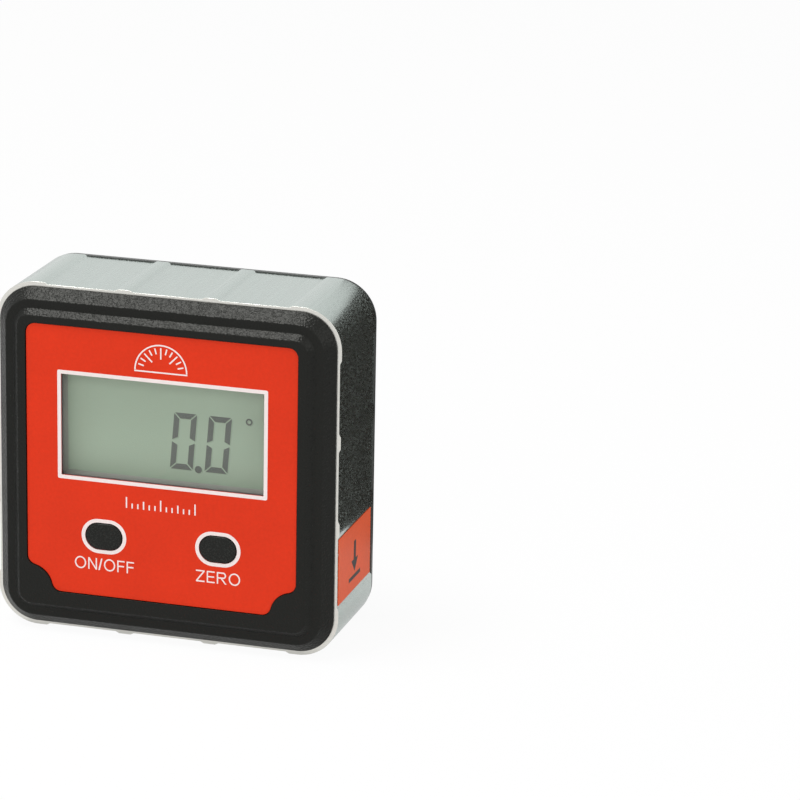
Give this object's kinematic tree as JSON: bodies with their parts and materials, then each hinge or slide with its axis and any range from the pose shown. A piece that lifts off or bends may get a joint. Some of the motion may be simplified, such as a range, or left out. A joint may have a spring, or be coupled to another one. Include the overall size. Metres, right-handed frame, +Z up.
{
  "type": "digital angle gauge",
  "caption": "Square box-shaped digital angle gauge: extruded aluminium frame, black covers, red front overlay, set-back display, push keys, magnetic base and sliding battery door.",
  "frame": {"origin": "centre of the gauge's outline on the surface that its base lands stand on", "axes": "+X to the right as the display is read, +Y from the display to the back, +Z up"},
  "size_m": [0.06, 0.027, 0.06],
  "materials": {
    "anodised_aluminium": "satin anodised, bright cut ends",
    "black_plastic": "fine moulded grain",
    "red_film": "satin printed film",
    "clear_lens": "clear",
    "display_glass": "reflective liquid crystal, satin polariser",
    "white_plastic": "moulded",
    "grey_rubber": "striped elastomer",
    "green_board": "solder mask",
    "switch_plastic": "moulded",
    "chip_resin": "moulded resin",
    "plated_steel": "nickel plated",
    "capacitor_ceramic": "ceramic",
    "key_plastic": "satin moulded",
    "cell_jacket": "printed jacket",
    "nickel": "nickel plated",
    "dark_steel": "black zinc",
    "orange_film": "satin film"
  },
  "bodies": {
    "housing": {"frame": "anodised_aluminium", "front_cover": "black_plastic", "front_overlay": "red_film", "display_window": "clear_lens", "lcd_panel": "display_glass", "lcd_holder": "white_plastic", "zebra_strip": "grey_rubber", "circuit_board": "green_board", "on_off_switch": "switch_plastic", "zero_switch": "switch_plastic", "controller_chip": "chip_resin", "tilt_sensor": "chip_resin", "crystal": "plated_steel", "capacitors": "capacitor_ceramic", "board_screws": "plated_steel", "rear_cover": "black_plastic", "battery_upper": "cell_jacket", "battery_lower": "cell_jacket", "positive_plate": "plated_steel", "negative_plate": "plated_steel", "bridge_plate": "plated_steel", "spring_upper": "plated_steel", "spring_lower": "plated_steel", "magnet_left": "nickel", "magnet_middle": "nickel", "magnet_right": "nickel", "cover_screws": "dark_steel", "side_sticker": "orange_film"},
    "on_off_key": {"on_off_button": "key_plastic", "on_off_plunger": "switch_plastic"},
    "zero_key": {"zero_button": "key_plastic", "zero_plunger": "switch_plastic"},
    "door": {"battery_door": "black_plastic"}
  },
  "joints": [
    {"name": "on_off_press", "type": "slide", "parent": "housing", "child": "on_off_key", "axis": [0, 1, 0], "range_m": [0, 0.0005], "stiffness_N_per_m": 2000, "springref_m": -0.0003},
    {"name": "zero_press", "type": "slide", "parent": "housing", "child": "zero_key", "axis": [0, 1, 0], "range_m": [0, 0.0005], "stiffness_N_per_m": 2000, "springref_m": -0.0003},
    {"name": "door_slide", "type": "slide", "parent": "housing", "child": "door", "axis": [1, 0, 0], "range_m": [0, 0.05]}
  ]
}
